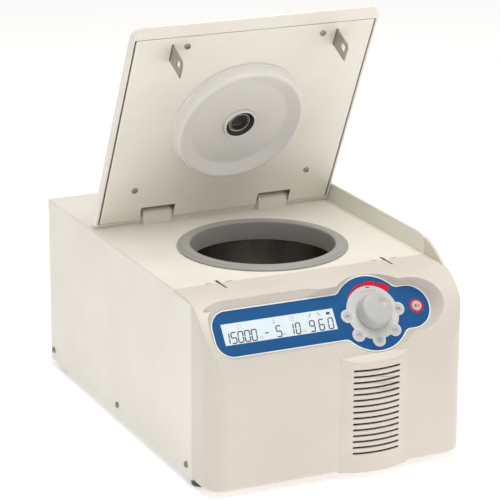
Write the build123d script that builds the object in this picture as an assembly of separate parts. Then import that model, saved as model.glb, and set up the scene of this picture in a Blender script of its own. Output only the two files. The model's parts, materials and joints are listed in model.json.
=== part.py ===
from build123d import *
import math
import os

os.makedirs("parts", exist_ok=True)

# ---------------------------------------------------------------- driving dimensions (mm)
HALF = 170.0            # half the cabinet width
FOOT = 9.0              # rubber feet, height under the cabinet
DECK = FOOT + 224.0     # top face of the deck
TOP = DECK + 24.0       # closed lid top and the upstand on the right
REAR = 266.5            # outer face of the rear panel
FACE = -260.0           # flat outer face of the front moulding
CH_Y = -42.0            # chamber axis, along Y
SEAM = CH_Y - 114.5     # joint between deck and front moulding
SIDE_SEAM = -207.5      # joint between side sheet and front moulding
SHEET = 1.5             # sheet metal
MOULD = 3.0             # moulding wall
OPENING = 90.7          # clear radius of the chamber mouth
GASKET = 107.1          # outer radius of the gasket
LID_OPEN = 63.4         # lid angle, closed to fully open
LID_GAP = 5.6           # deck to lid plate, closed
AXIS_Y = CH_Y + 152.0   # hinge axis
AXIS_Z = DECK + 12.6
PLATE_REAR = CH_Y + 155.5
PLATE_FRONT = CH_Y - 140.5
PLATE_Z = DECK + LID_GAP
TILT = 37.0             # control face, back from vertical
PANEL_Y = CH_Y - 214.0
PANEL_Z = FOOT + 144.3
DIAL = (58.7, 50.0)     # knob centre on the control face
KEYS = ((24.7, 49.8), (32.8, 24.8), (57.0, 15.0), (81.0, 24.8), (92.8, 50.0))
START = (118.5, 50.2)
LCD = (-64.6, 49.5)
LCD_W = 146.0
LCD_H = 26.5
KEY_R = 7.2
HOOK_X = 111.0
BOWL_R = 92.0           # inner radius of the steel bowl
FLOOR = DECK - 126.0    # bowl floor
LID_HALF = 165.0        # half the lid width
LID_SCREWS = [(x, PLATE_REAR - v) for x, v in ((-91.5, 281), (91.5, 281), (-121, 52.4), (121, 52.4))]
BOLT_Y = PLATE_REAR - 274.5   # lock bolt, along Y and Z
BOLT_Z = PLATE_Z - 23.8
SIDE_SCREWS = (255.0, 27.5, -191.0)
REAR_SCREWS = ((-158, 20), (158, 20), (-158, 205), (158, 205), (0, 205), (0, 20))
FEET = ((-154.0, -200.0), (154.0, -200.0), (-150.0, 232.0), (150.0, 232.0))
FAN = (76.0, FOOT + 106.0)
FAN_R = 56.0
INLET = (-128.0, FOOT + 42.5)
SWITCH = (-128.0, FOOT + 86.0)
POSTS = [(x, CH_Y + y) for x in (-62, 62) for y in (-62, 62)]
COMP = (-92.0, 168.0)   # compressor centre in plan

PANEL = Plane(
    origin=(0, PANEL_Y, PANEL_Z),
    x_dir=(1, 0, 0),
    z_dir=(0, -math.cos(math.radians(TILT)), math.sin(math.radians(TILT))),
)


# ---------------------------------------------------------------- helpers
def block(x0, x1, y0, y1, z0, z1):
    centre = Pos((x0 + x1) / 2, (y0 + y1) / 2, (z0 + z1) / 2)
    return centre * Box(x1 - x0, y1 - y0, z1 - z0)


def rod(r, z0, z1, x=0.0, y=CH_Y):
    return Pos(x, y, (z0 + z1) / 2) * Cylinder(r, z1 - z0)


def rod_x(r, x0, x1, y, z):
    return Pos((x0 + x1) / 2, y, z) * Rot(0, 90, 0) * Cylinder(r, x1 - x0)


def rod_y(r, y0, y1, x, z):
    return Pos(x, (y0 + y1) / 2, z) * Rot(90, 0, 0) * Cylinder(r, y1 - y0)


def tube(ro, ri, z0, z1, x=0.0, y=CH_Y):
    return rod(ro, z0, z1, x, y) - rod(ri, z0 - 1, z1 + 1, x, y)


def on_panel(u, v, off0, off1, r):
    return PANEL * Pos(u, v, (off0 + off1) / 2) * Cylinder(r, off1 - off0)


def panel_block(u0, u1, v0, v1, off0, off1):
    centre = Pos((u0 + u1) / 2, (v0 + v1) / 2, (off0 + off1) / 2)
    return PANEL * centre * Box(u1 - u0, v1 - v0, off1 - off0)


def turned(points, y=CH_Y):
    # closed half section (radius, height) turned about the vertical through (0, y)
    face = make_face(Polyline(*points, close=True))
    solid = revolve(Plane.XZ * face, Axis.Z)
    return Pos(0, y, 0) * solid


def joined(shapes):
    out = shapes[0]
    for piece in shapes[1:]:
        out = out + piece
    return out


def opened(shape):
    # from the closed position to the open position about the hinge axis
    return Pos(0, AXIS_Y, AXIS_Z) * Rot(-LID_OPEN, 0, 0) * Pos(0, -AXIS_Y, -AXIS_Z) * shape


def group(shapes):
    return Compound(children=list(shapes))


# ---------------------------------------------------------------- cabinet sheet metal
def upstand_face():
    # side view of the raised right-hand edge, its nose running down into the front
    nose = CH_Y - 88.0
    end_y = CH_Y - 162.0
    end_z = FOOT + 221.0
    run = nose - end_y
    drop = TOP - end_z
    radius = (run * run + drop * drop) / (2 * drop)
    half = math.asin(run / radius) / 2
    mid = (nose - radius * math.sin(half), TOP - radius * (1 - math.cos(half)))
    low = FOOT + 205.0
    edge = [
        Line((REAR, low), (REAR, TOP)),
        Line((REAR, TOP), (nose, TOP)),
        ThreePointArc((nose, TOP), mid, (end_y, end_z)),
        Line((end_y, end_z), (end_y, low)),
        Line((end_y, low), (REAR, low)),
    ]
    return Plane.YZ * make_face(edge)


def upstand():
    return Pos(HALF - 3.5, 0, 0) * extrude(upstand_face(), 3.5, dir=(1, 0, 0))


def cabinet_cover():
    outer = block(-HALF, HALF, SEAM, REAR - SHEET, FOOT, DECK)
    inner = block(-HALF + SHEET, HALF - SHEET, SEAM - 9, REAR + 9, FOOT - 9, DECK - SHEET)
    shell = outer - inner
    for side in (-1, 1):
        wall = side * (HALF - SHEET / 2)
        shell = shell + block(wall - SHEET / 2, wall + SHEET / 2, SIDE_SEAM, SEAM, FOOT, DECK - 4)
    shell = fillet(shell.edges().filter_by(Axis.Y).group_by(Axis.Z)[-1].sort_by(Axis.X)[0], 2.5)
    rib = upstand() & block(0, HALF, SEAM, REAR - SHEET, DECK - SHEET, TOP)
    shell = shell + rib
    shell = shell - rod(OPENING + 5.6, DECK - 9, DECK + 1)
    for side in (-1, 1):
        slot = block(-20.2, 20.2, AXIS_Y + 2.3, AXIS_Y + 5.1, DECK - 9, DECK + 1)
        shell = shell - Pos(side * 81.5, 0, 0) * slot
        shell = shell - Pos(side * HOOK_X, 0, 0) * block(-2, 2, SEAM - 9, CH_Y - 103.5, DECK - 9, DECK + 1)
        for y in SIDE_SCREWS:
            shell = shell - rod_x(2.2, side * HALF - 9, side * HALF + 9, y, FOOT + 14.5)
    for row in range(7):
        z = FOOT + 60 + row * 11
        shell = shell - block(HALF - 9, HALF + 9, 120, 200, z, z + 3.5)
    return shell


def base_tray():
    tray = block(-HALF + 2, HALF - 2, SIDE_SEAM + 2, REAR - 2, FOOT, FOOT + 24)
    tray = tray - block(-HALF + 3.5, HALF - 3.5, SIDE_SEAM - 9, REAR - 3.5, FOOT + 1.5, FOOT + 99)
    for x in (-1, 1):
        for y in SIDE_SCREWS:
            tray = tray - rod_x(2.2, x * HALF - 9, x * HALF + 9, y, FOOT + 14.5)
    for row in range(8):
        y = -60 + row * 14
        tray = tray - block(-45, 45, y - 2, y + 2, FOOT - 9, FOOT + 9)
    for x, z in REAR_SCREWS:
        tray = tray - rod_y(2.2, REAR - 9, REAR + 9, x, FOOT + z)
    for x, y in FEET:
        tray = tray - rod(3.2, FOOT - 9, FOOT + 9, x, y)
    return tray


def feet():
    out = []
    for x, y in FEET:
        pad = Pos(x, y, FOOT / 2) * Cone(12.0, 14.0, FOOT)
        out.append(pad + rod(3.2, FOOT - 1, FOOT + 3.5, x, y))
    return group(out)


def pan_head(radius, height):
    # a low domed head with a cross recess, pointing along +Z
    dome = Cylinder(radius, height, align=(Align.CENTER, Align.CENTER, Align.MIN))
    dome = fillet(dome.edges().group_by(Axis.Z)[-1], height * 0.55)
    for turn in (0, 90):
        slot = Pos(0, 0, height) * Rot(0, 0, turn) * Box(radius * 1.1, radius * 0.26, height * 0.9)
        dome = dome - slot
    return dome


def screw(radius, height, shank, length):
    return pan_head(radius, height) + Pos(0, 0, -length / 2) * Cylinder(shank, length)


def case_screws():
    out = []
    for side in (-1, 1):
        for y in SIDE_SCREWS:
            place = Pos(side * HALF, y, FOOT + 14.5) * Rot(0, side * 90, 0)
            out.append(place * screw(3.9, 2.2, 2.0, 7.0))
    for x, z in REAR_SCREWS:
        out.append(Pos(x, REAR, FOOT + z) * Rot(-90, 0, 0) * screw(3.4, 2.0, 1.9, 6.0))
    return group(out)


# ---------------------------------------------------------------- rear panel and its fittings
def rear_panel():
    sheet = block(-HALF + 2, HALF - 2, REAR - SHEET, REAR, FOOT, DECK - SHEET - 0.5)
    edge = block(-HALF + 1.6, HALF - 1.6, REAR - 12, REAR - SHEET, DECK - 3.5, DECK - 2)
    sheet = sheet + edge
    for ring in range(5):
        ro = FAN_R - ring * 11
        band = rod_y(ro, REAR - 9, REAR + 9, *FAN) - rod_y(ro - 6.5, REAR - 19, REAR + 19, *FAN)
        for turn in (45, 135):
            spoke = Box(2 * FAN_R + 9, 60, 5)
            band = band - Pos(FAN[0], REAR, FAN[1]) * Rot(0, turn, 0) * spoke
        sheet = sheet - band
    for (x, z), w, h in ((INLET, 14, 17), (SWITCH, 14, 10)):
        sheet = sheet - block(x - w, x + w, REAR - 9, REAR + 9, z - h, z + h)
    for row in range(8):
        z = FOOT + 150 + row * 7
        sheet = sheet - block(-140, -60, REAR - 9, REAR + 9, z, z + 2.6)
    for x, z in REAR_SCREWS:
        sheet = sheet - rod_y(2.0, REAR - 9, REAR + 9, x, FOOT + z)
    return sheet - rod_y(2.6, REAR - 9, REAR + 9, -95, FOOT + 30)


def fan_guard():
    x, z = FAN
    out = []
    for ring in range(5):
        hoop = Pos(x, REAR + 2.9, z) * Rot(90, 0, 0) * Torus(FAN_R + 2 - ring * 11.5, 1.1)
        out.append(hoop)
    for turn in range(4):
        bar = Rot(0, 45 + turn * 90, 0) * Pos(34, 0, 0) * Rot(0, 90, 0) * Cylinder(1.0, 56)
        out.append(Pos(x, REAR + 1.2, z) * bar)
    wires = joined(out)
    for turn in range(4):
        lug = Rot(0, 45 + turn * 90, 0) * Pos(65, 0, 0) * Rot(90, 0, 0) * Cylinder(4.5, 4.4)
        wires = wires + Pos(x, REAR + 2.3, z) * lug
    return wires


def fan_shroud():
    x, z = FAN
    body = block(x - 60, x + 60, REAR - 31, REAR - SHEET - 0.2, z - 60, z + 60)
    body = body - rod_y(FAN_R + 0.5, REAR - 99, REAR + 9, x, z)
    hub = rod_y(15, REAR - 31, REAR - 27, x, z)
    for turn in range(3):
        arm = Rot(0, 30 + turn * 120, 0) * Pos(36, 0, 0) * Box(46, 4, 6)
        hub = hub + Pos(x, REAR - 29, z) * arm
    return body + hub


def fan_impeller():
    x, z = FAN
    hub = rod_y(17, REAR - 25, REAR - 6, x, z)
    blade = Pos(34.5, 0, 0) * Rot(38, 0, 0) * Box(37, 20, 2)
    for turn in range(7):
        hub = hub + Pos(x, REAR - 15.5, z) * Rot(0, turn * 360 / 7, 0) * blade
    keep = rod_y(FAN_R - 2.5, REAR - 25.5, REAR - 5, x, z)
    return hub & keep


def power_inlet():
    x, z = INLET
    body = block(x - 13.7, x + 13.7, REAR - 26, REAR, z - 16.7, z + 16.7)
    body = body + block(x - 17, x + 17, REAR, REAR + 3, z - 19, z + 19)
    body = body - block(x - 12.2, x + 12.2, REAR - 17, REAR + 9, z - 14, z + 3)
    body = body - block(x - 11.2, x + 11.2, REAR - 12, REAR + 9, z + 5, z + 14)
    for dx, dz in ((-7, -7.5), (0, -3.5), (7, -7.5)):
        body = body + block(x + dx - 1, x + dx + 1, REAR - 18, REAR - 2, z + dz - 2, z + dz + 2)
    return body


def fuse_drawer():
    x, z = INLET
    drawer = block(x - 10.9, x + 10.9, REAR - 11, REAR + 2.6, z + 5.3, z + 13.7)
    return drawer - block(x - 3, x + 3, REAR + 1.4, REAR + 9, z + 8, z + 11)


def switch_frame():
    x, z = SWITCH
    body = block(x - 13.7, x + 13.7, REAR - 20, REAR, z - 9.7, z + 9.7)
    body = body + block(x - 15.5, x + 15.5, REAR, REAR + 1.6, z - 11.5, z + 11.5)
    return body - block(x - 12, x + 12, REAR - 13, REAR + 9, z - 8, z + 8)


def power_rocker():
    # rocks about a vertical line at its middle; the rest position has one end pressed
    x, z = SWITCH
    points = [(-11.2, -2), (11.2, -2), (11.2, 2.0), (0, 3.6), (-11.2, 2.0)]
    plate = Plane.XY * make_face(Polyline(*points, close=True))
    cap = extrude(plate, 7.2, both=True)
    axle = Cylinder(1.6, 14.4)
    cap = cap + axle
    return Pos(x, REAR - 1.6, z) * Rot(0, 0, 6) * cap


def ground_stud():
    stud = rod_y(2.5, REAR - 12, REAR + 4.2, -95, FOOT + 30)
    nut = Pos(-95, REAR + 1.25, FOOT + 30) * Rot(90, 0, 0) * extrude(RegularPolygon(4.6, 6), 1.25, both=True)
    return stud + nut


# ---------------------------------------------------------------- front moulding
def body_profile(inset):
    # side view of the front: flat top, elliptical shoulder, upright face
    top = DECK - inset
    face = FACE + inset
    start = CH_Y - 146.0
    low = FOOT + 135.0
    arc = EllipticalCenterArc((start, low), start - face, top - low, start_angle=90, arc_size=90)
    edge = [
        Line((SEAM, top), (start, top)),
        arc,
        Line((face, low), (face, FOOT + inset)),
        Line((face, FOOT + inset), (SEAM, FOOT + inset)),
        Line((SEAM, FOOT + inset), (SEAM, top)),
    ]
    return Plane.YZ * make_face(edge)


def front_body(inset):
    side = extrude(body_profile(inset), HALF - inset, both=True)
    plan = Rectangle(2 * (HALF - inset), SEAM - FACE - inset)
    plan = Pos(0, (SEAM + FACE + inset) / 2) * plan
    corners = plan.vertices().group_by(Axis.Y)[0]
    plan = fillet(corners, 23.0 - inset)
    prism = Pos(0, 0, FOOT - 9) * extrude(plan, DECK + 99)
    return side & prism


def bulge(inset):
    # bowed ventilated column: an arc in plan, its head leaning back under the controls
    proud = 11.0 - inset
    middle = 45.0
    reach = 46.0 - inset
    radius = (reach * reach + proud * proud) / (2 * proud)
    drum = Pos(middle, FACE + radius - proud, 0) * Cylinder(radius, 600)
    y = FACE - proud
    head = FOOT + 150.0 - inset
    side = make_face(Polyline(
        (y, FOOT + inset), (y, FOOT + 132), (y + 3, FOOT + 139), (FACE + 6, head),
        (FACE + 30, head), (FACE + 30, FOOT + inset), close=True))
    slab = extrude(Plane.YZ * side, 300, both=True)
    column = drum & slab
    return column & block(middle - reach, middle + reach, y - 9, FACE + 12, 0, DECK)


def face_outline(grow):
    # control face: wide left lobe, round lobe for the dial, small right lobe
    left = Pos(-46.65, 49.9) * RectangleRounded(207.3 + 2 * grow, 59.2 + 2 * grow, 22 + grow)
    dial = Pos(57, 49.5) * Circle(48.5 + grow)
    right = Pos(82.0, 50.6) * SlotOverall(109.4 + 2 * grow, 56 + 2 * grow)
    return left + dial + right


def smooth_outline(grow):
    return offset(offset(face_outline(grow), 9.0), -9.0)


def pocket(grow, floor):
    # tapered recess, widening outwards
    parts = []
    for lobe in (
        Pos(-46.65, 49.9) * RectangleRounded(207.3 + 2 * grow, 59.2 + 2 * grow, 22 + grow),
        Pos(57, 49.5) * Circle(48.5 + grow),
        Pos(82.0, 50.6) * SlotOverall(109.4 + 2 * grow, 56 + 2 * grow),
    ):
        parts.append(extrude(PANEL * Pos(0, 0, floor) * lobe, 26, taper=-26))
    base = extrude(PANEL * Pos(0, 0, floor) * smooth_outline(grow), 26)
    return joined([base] + parts)


def crown(grow):
    # eases the shoulder down to the upper edge of the left lobe, tangent to the deck and the control face
    tilt = math.radians(TILT)
    slope = math.pi / 2 - tilt
    edge_v = 80.2
    edge_y = PANEL_Y + edge_v * math.sin(tilt)
    edge_z = PANEL_Z + edge_v * math.cos(tilt)
    radius = (DECK - edge_z) / (1 - math.cos(slope))
    back = edge_y + radius * math.sin(slope)
    centre_z = DECK - radius
    r = radius - grow
    start = (back - r * math.sin(slope), centre_z + r * math.cos(slope))
    mid = (back - r * math.sin(slope / 2), centre_z + r * math.cos(slope / 2))
    low = (start[0] - 14, start[1] - 14 * math.tan(slope))
    section = make_face([
        ThreePointArc(start, mid, (back, centre_z + r)),
        Line((back, centre_z + r), (back, TOP)),
        Line((back, TOP), (low[0], TOP)),
        Line((low[0], TOP), low),
        Line(low, start),
    ])
    prism = extrude(Plane.YZ * section, 160, both=True)
    lobe = Pos(-77.5, 49.9) * RectangleRounded(145 + 2 * grow, 59.2 + 2 * grow, 22 + grow)
    ramp = extrude(PANEL * Pos(0, 0, -grow) * lobe, 44, taper=-50)
    return prism & ramp


def slots():
    pitch = 104.7 / 14
    out = []
    for row in range(15):
        z = FOOT + 24.5 + row * pitch
        cut = Pos(45.0, FACE, z) * Box(62, 60, 2.6)
        out.append(fillet(cut.edges().filter_by(Axis.Y), 1.25))
    return out


def front_panel():
    body = front_body(0)
    rim = [edge for edge in body.edges().group_by(Axis.Z)[0] if edge.center().Y < SEAM - 1]
    outer = fillet(rim, 5.0) + bulge(0)
    cavity = front_body(MOULD) + bulge(MOULD)
    cavity = cavity + block(-HALF + MOULD, HALF - MOULD, SIDE_SEAM - 2, SEAM + 9, FOOT - 9, FOOT + MOULD + 1)
    shell = outer - cavity
    for side in (-1, 1):
        cheek = block(HALF - MOULD, HALF + 9, SIDE_SEAM, SEAM + 9, FOOT - 9, DECK - 4)
        shell = shell - (cheek if side > 0 else mirror(cheek, Plane.YZ))
    tub = (pocket(MOULD, -0.8 - MOULD) + crown(MOULD)) & outer
    shell = shell + tub - crown(0)
    shell = shell - pocket(0.3, -0.8)
    nose = upstand() & block(0, HALF, CH_Y - 162, SEAM - 0.4, DECK - 3, TOP)
    shell = shell + nose
    for cut in slots():
        shell = shell - cut
    lcd = PANEL * Pos(LCD[0], LCD[1], -4) * Box(LCD_W, LCD_H, 20)
    shell = shell - lcd
    shell = shell - on_panel(*DIAL, -19, 9, 5.2)
    for u, v in KEYS + (START,):
        shell = shell - on_panel(u, v, -19, 9, KEY_R + 0.4)
    for side in (-1, 1):
        funnel = block(-1.4, 1.4, CH_Y - 135.5, SEAM + 9, DECK - 9, DECK + 1)
        shell = shell - Pos(side * HOOK_X, 0, 0) * funnel
    return shell


# ---------------------------------------------------------------- control face
def control_overlay():
    sheet = extrude(PANEL * Pos(0, 0, -0.8) * smooth_outline(0), 0.8)
    sheet = sheet - PANEL * Pos(LCD[0], LCD[1], 0) * Box(LCD_W, LCD_H, 9)
    sheet = sheet - on_panel(*DIAL, -9, 9, 5.2)
    for u, v in KEYS + (START,):
        sheet = sheet - on_panel(u, v, -9, 9, KEY_R + 0.4)
    return sheet


def dial_plate():
    plate = on_panel(*DIAL, 0, 1.0, 34.0) - on_panel(*DIAL, -9, 9, 5.2)
    for u, v in KEYS:
        plate = plate - on_panel(u, v, -9, 9, KEY_R + 0.4)
    return plate


def lcd_window():
    pane = PANEL * Pos(LCD[0], LCD[1], -0.9) * Box(LCD_W - 0.1, LCD_H - 0.1, 1.6)
    return pane


def lcd_module():
    body = PANEL * Pos(LCD[0], LCD[1], -6.4) * Box(LCD_W - 1, LCD_H - 1, 9.0)
    return body + PANEL * Pos(LCD[0], LCD[1], -8.2) * Box(LCD_W + 8, LCD_H + 10, 5.4)


def key(u, v):
    cap = on_panel(u, v, -3.0, 1.4, KEY_R)
    cap = fillet(cap.faces().sort_by(SortBy.AREA)[-1].edges(), 0.5)
    flange = on_panel(u, v, -5.3, -4.3, 8.4) + on_panel(u, v, -5.3, -2.5, 5.0)
    return cap + flange + on_panel(u, v, -8.6, -5.0, 2.0)


def control_knob():
    points = [(0, 8.0), (3.05, 8.0), (3.05, 1.6), (6.0, 1.6), (6.0, 12.5), (17.5, 12.5), (18.5, 1.6),
              (21.6, 1.6), (21.4, 3.2), (19.6, 15.2), (18.6, 17.4), (16.6, 18.4), (0, 18.8)]
    body = revolve(Plane.XZ * make_face(Polyline(*points, close=True)), Axis.Z)
    body = body - rod(3.05, 0, 12.05, 0, 0)
    body = body - Pos(6.5, 6.5, 18.6 + 6.2) * Sphere(8.0)
    return PANEL * Pos(*DIAL, 0) * body


def encoder():
    body = on_panel(*DIAL, -11.9, -5.5, 7.5)
    return body + on_panel(*DIAL, -5.6, 0.9, 4.6) + on_panel(*DIAL, 0.8, 11.6, 3.0)


def control_board():
    board = panel_block(30, 133, 2, 92, -13.5, -12.0)
    board = board + panel_block(-150, 31, 24, 76, -13.5, -12.0)
    for u, v in KEYS + (START,):
        board = board + panel_block(u - 3, u + 3, v - 3, v + 3, -12.1, -9.4)
    board = board + panel_block(-30, 10, 26, 34, -19, -13.4)
    return board


# ---------------------------------------------------------------- chamber
def bowl_gasket():
    r = OPENING
    z = DECK
    points = [(r, z - 20), (r + 4.3, z - 20), (r + 4.6, z), (GASKET - 0.6, z),
              (GASKET, z + 0.8), (GASKET - 0.3, z + 2.4), (GASKET - 3.4, z + 3.6),
              (GASKET - 5.0, z + 5.1), (r + 2.2, z + 5.1), (r + 0.5, z + 4.3), (r, z + 2.8)]
    return turned(points)


def rotor_bowl():
    r = BOWL_R
    t = 1.2
    z = DECK - 20
    points = [(r, z), (r + 6, z), (r + 6, z - t), (r + t, z - t), (r + t, FLOOR + 14), (r - 3, FLOOR + 4),
              (r - 12, FLOOR), (22, FLOOR), (22, FLOOR + t), (r - 12.4, FLOOR + t), (r - 4, FLOOR + 5),
              (r, FLOOR + 14.4)]
    return turned(points)


def evaporator_coil():
    turns = Helix(pitch=14, height=70, radius=BOWL_R + 5.6)
    ring = Plane(origin=turns @ 0, z_dir=turns % 0) * Circle(3.5)
    coil = sweep(ring, path=turns)
    return Pos(0, CH_Y, FLOOR + 22) * coil


def bowl_insulation():
    points = [(102, DECK - 24), (111.5, DECK - 24), (111.5, FLOOR - 9), (26, FLOOR - 9), (26, FLOOR - 0.2),
              (102, FLOOR - 0.2)]
    return turned(points)


def armour_ring():
    ring = tube(115, 112, FLOOR - 9, DECK - 26)
    return ring


def bowl_seal():
    return turned([(15.6, FLOOR - 8), (21.8, FLOOR - 8), (21.8, FLOOR + 3), (15.6, FLOOR + 6)])


# ---------------------------------------------------------------- drive
def mount_posts():
    out = []
    for x, y in POSTS:
        out.append(rod(8, FOOT + 1.5, 62, x, y) + rod(14, FOOT + 1.5, FOOT + 4.5, x, y))
    return group(out)


def motor_dampers():
    out = []
    for x, y in POSTS:
        pad = rod(10, 62, 77, x, y)
        groove = tube(12, 8.2, 67, 72, x, y)
        out.append(pad - groove)
    return group(out)


def motor_mount_plate():
    plate = Pos(0, CH_Y, 78.5) * Box(152, 152, 3)
    plate = fillet(plate.edges().filter_by(Axis.Z), 14)
    return plate - rod(47, 0, 200)


def motor_housing():
    body = rod(46.5, 22, 80) + rod(58, 80, 84) + rod(34, 84, 90) + rod(15.5, 90, FLOOR + 8)
    body = body - rod(6.5, 60, 200)
    for turn in range(24):
        rib = Pos(0, CH_Y, 46) * Rot(0, 0, turn * 15) * Pos(46.5, 0, 0) * Box(4, 3, 34)
        body = body - rib
    return body


def motor_shaft():
    shaft = rod(6.4, 61, FLOOR + 14) + Pos(0, CH_Y, FLOOR + 22) * Cone(6.4, 5.0, 16)
    return shaft + rod(4, FLOOR + 30, FLOOR + 66)


def rotor_body():
    z = FLOOR + 12
    points = [(6.6, z), (30, z), (60, z + 6), (80, z + 30), (82, z + 40), (82, z + 44), (79, z + 46),
              (79, z + 44.5), (70, z + 44), (30, z + 26), (14, z + 22), (5.2, z + 22)]
    body = turned(points)
    for turn in range(24):
        seat = Rot(0, 0, turn * 15) * Pos(60, 0, z + 36) * Rot(0, -45, 0) * Cylinder(5.4, 26)
        body = body - Pos(0, CH_Y, 0) * seat
    return body


def rotor_lid():
    z = FLOOR + 58.0
    return turned([(4.4, z), (79, z), (80, z + 1.2), (79, z + 2.6), (40, z + 6.5), (4.4, z + 6.8)])


def rotor_nut():
    z = FLOOR + 65.2
    points = [(4.1, z), (15, z), (16, z + 2), (16, z + 8), (13, z + 11), (0, z + 12), (0, z + 1),
              (4.1, z + 1)]
    nut = turned(points)
    for turn in range(12):
        flute = Rot(0, 0, turn * 30) * Pos(17.6, 0, z + 6) * Cylinder(2.4, 9)
        nut = nut - Pos(0, CH_Y, 0) * flute
    return nut


# ---------------------------------------------------------------- hinge and lid
def hinge_brackets():
    # a rounded block round each hinge pin, with a leaf and foot through the deck
    out = []
    for side in (-1, 1):
        barrel = rod_x(4.6, -19.5, 19.5, AXIS_Y, AXIS_Z)
        nose = rod_x(8.2, -19.5, 19.5, AXIS_Y, AXIS_Z)
        nose = nose & block(-20, 20, AXIS_Y - 9, AXIS_Y, AXIS_Z, AXIS_Z + 9)
        barrel = barrel + nose + block(-19.5, 19.5, AXIS_Y - 8.2, AXIS_Y + 2.6, DECK, AXIS_Z)
        leaf = block(-19.5, 19.5, AXIS_Y + 2.6, AXIS_Y + 4.6, DECK - 3.6, AXIS_Z)
        foot = block(-19.5, 19.5, AXIS_Y + 2.6, AXIS_Y + 30, DECK - 3.6, DECK - 1.6)
        strap = (barrel + leaf + foot) - rod_x(2.0, -30, 30, AXIS_Y, AXIS_Z)
        out.append(Pos(side * 81.5, 0, 0) * strap)
    return group(out)


def hinge_pins():
    out = []
    for side in (-1, 1):
        out.append(Pos(side * 81.5, 0, 0) * rod_x(2.0, -27.5, 27.5, AXIS_Y, AXIS_Z))
    return group(out)


def lid_profile(inset):
    top = TOP - inset
    rear = AXIS_Y + 6.9 - inset
    tip = CH_Y - 160.8 + inset
    nose = CH_Y - 95.0
    low = PLATE_Z
    edge_z = PLATE_Z + 2.6
    run = nose - tip
    drop = top - edge_z
    radius = (run * run + drop * drop) / (2 * drop)
    half = math.asin(run / radius) / 2
    mid = (nose - radius * math.sin(half), top - radius * (1 - math.cos(half)))
    edge = [
        Line((rear, low), (rear, top - 4)),
        Line((rear, top - 4), (rear - 4, top)),
        Line((rear - 4, top), (nose, top)),
        ThreePointArc((nose, top), mid, (tip, edge_z)),
        Line((tip, edge_z), (tip + 1.6, low)),
        Line((tip + 1.6, low), (rear, low)),
    ]
    return Plane.YZ * make_face(edge)


def lid_block(inset):
    half = LID_HALF - inset
    side = extrude(lid_profile(inset), half, both=True)
    rear = AXIS_Y + 6.9 - inset
    tip = CH_Y - 160.8 + inset
    front = tip - 0.3
    plan = Pos(0, (rear + front) / 2) * Rectangle(2 * half, rear - front)
    plan = fillet(plan.vertices().group_by(Axis.Y)[0], 20.0 - inset)
    prism = Pos(0, 0, DECK) * extrude(plan, 60)
    section = make_face(Polyline(
        (-half, DECK), (-half, TOP - inset - 7), (-half + 2.2, TOP - inset - 2.2), (-half + 7, TOP - inset),
        (half - 7, TOP - inset), (half - 2.2, TOP - inset - 2.2), (half, TOP - inset - 7), (half, DECK),
        close=True))
    bar = extrude(Plane.XZ * section, 400, both=True)
    return side & prism & bar


def lid_shell():
    wall = 2.6
    shell = lid_block(0)
    cavity = lid_block(wall) & block(-HALF, HALF, PLATE_FRONT - 0.8, 300, DECK, TOP)
    mouth = block(-162.2, 162.2, PLATE_FRONT - 0.8, PLATE_REAR + 0.8, DECK, PLATE_Z + 3)
    shell = shell - cavity - mouth
    for side in (-1, 1):
        notch = block(-24.3, 24.3, AXIS_Y + 3.9, AXIS_Y + 9, DECK, AXIS_Z + 5.6)
        shell = shell - Pos(side * 82.3, 0, 0) * notch
        for x in (-25.8, 20.8):
            lug = rod_x(4.2, x, x + 5, AXIS_Y, AXIS_Z)
            lug = lug + block(x, x + 5, AXIS_Y - 4.2, AXIS_Y + 4.2, AXIS_Z, TOP - 2)
            lug = lug - rod_x(2.05, x - 9, x + 20, AXIS_Y, AXIS_Z)
            shell = shell + Pos(side * 81.5, 0, 0) * lug
    for x, y in LID_SCREWS:
        shell = shell + (tube(5, 2.1, PLATE_Z + 1.5, TOP, x, y) & lid_block(1.0))
    shell = shell - rod(14, DECK, TOP + 9)
    return opened(shell)


def lid_plate():
    plate = block(-160, 160, PLATE_FRONT, PLATE_REAR, PLATE_Z, PLATE_Z + 1.5)
    for side in (-1, 1):
        plate = plate - Pos(side * 82.3, 0, 0) * block(-23.6, 23.6, PLATE_REAR - 20.5, 999, DECK, TOP)
        slot = block(-1.3, 1.3, PLATE_REAR - 286, PLATE_REAR - 260, DECK, TOP)
        plate = plate - Pos(side * HOOK_X, 0, 0) * slot
    for x, y in LID_SCREWS:
        plate = plate - rod(2.1, DECK, TOP, x, y)
    plate = plate - rod(16, DECK, TOP)
    return opened(plate)


def lid_screws():
    out = []
    for x, y in LID_SCREWS:
        out.append(opened(Pos(x, y, PLATE_Z) * Rot(180, 0, 0) * screw(4.0, 2.2, 2.0, 9.0)))
    return group(out)


def lid_disc():
    z = PLATE_Z
    points = [(21.9, z), (88.5, z), (88.5, z - 2.2), (87.6, z - 3.0), (86.4, z - 3.2), (85.6, z - 5.0),
              (84.6, z - 14.5), (83.4, z - 16.4), (81.2, z - 17.1), (78.6, z - 16.6), (65, z - 9.2),
              (63, z - 8.6), (21.9, z - 8.6)]
    return opened(turned(points))


def port_ring():
    z = PLATE_Z
    points = [(15.2, z + 1.6), (15.9, z + 1.6), (15.9, z - 0.1), (21.8, z - 0.1), (21.8, z - 12.0),
              (20.4, z - 13.4), (18.2, z - 13.0), (15.2, z - 9.5)]
    return opened(turned(points))


def port_glass():
    z = PLATE_Z
    points = [(0, TOP - 0.4), (13.8, TOP - 0.4), (13.8, z + 1.8), (15.1, z + 1.4), (15.1, z - 7.0),
              (12.6, z - 9.0), (11.0, z - 8.6), (9.4, z - 3.4), (0, z - 3.0)]
    return opened(turned(points))


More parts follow.
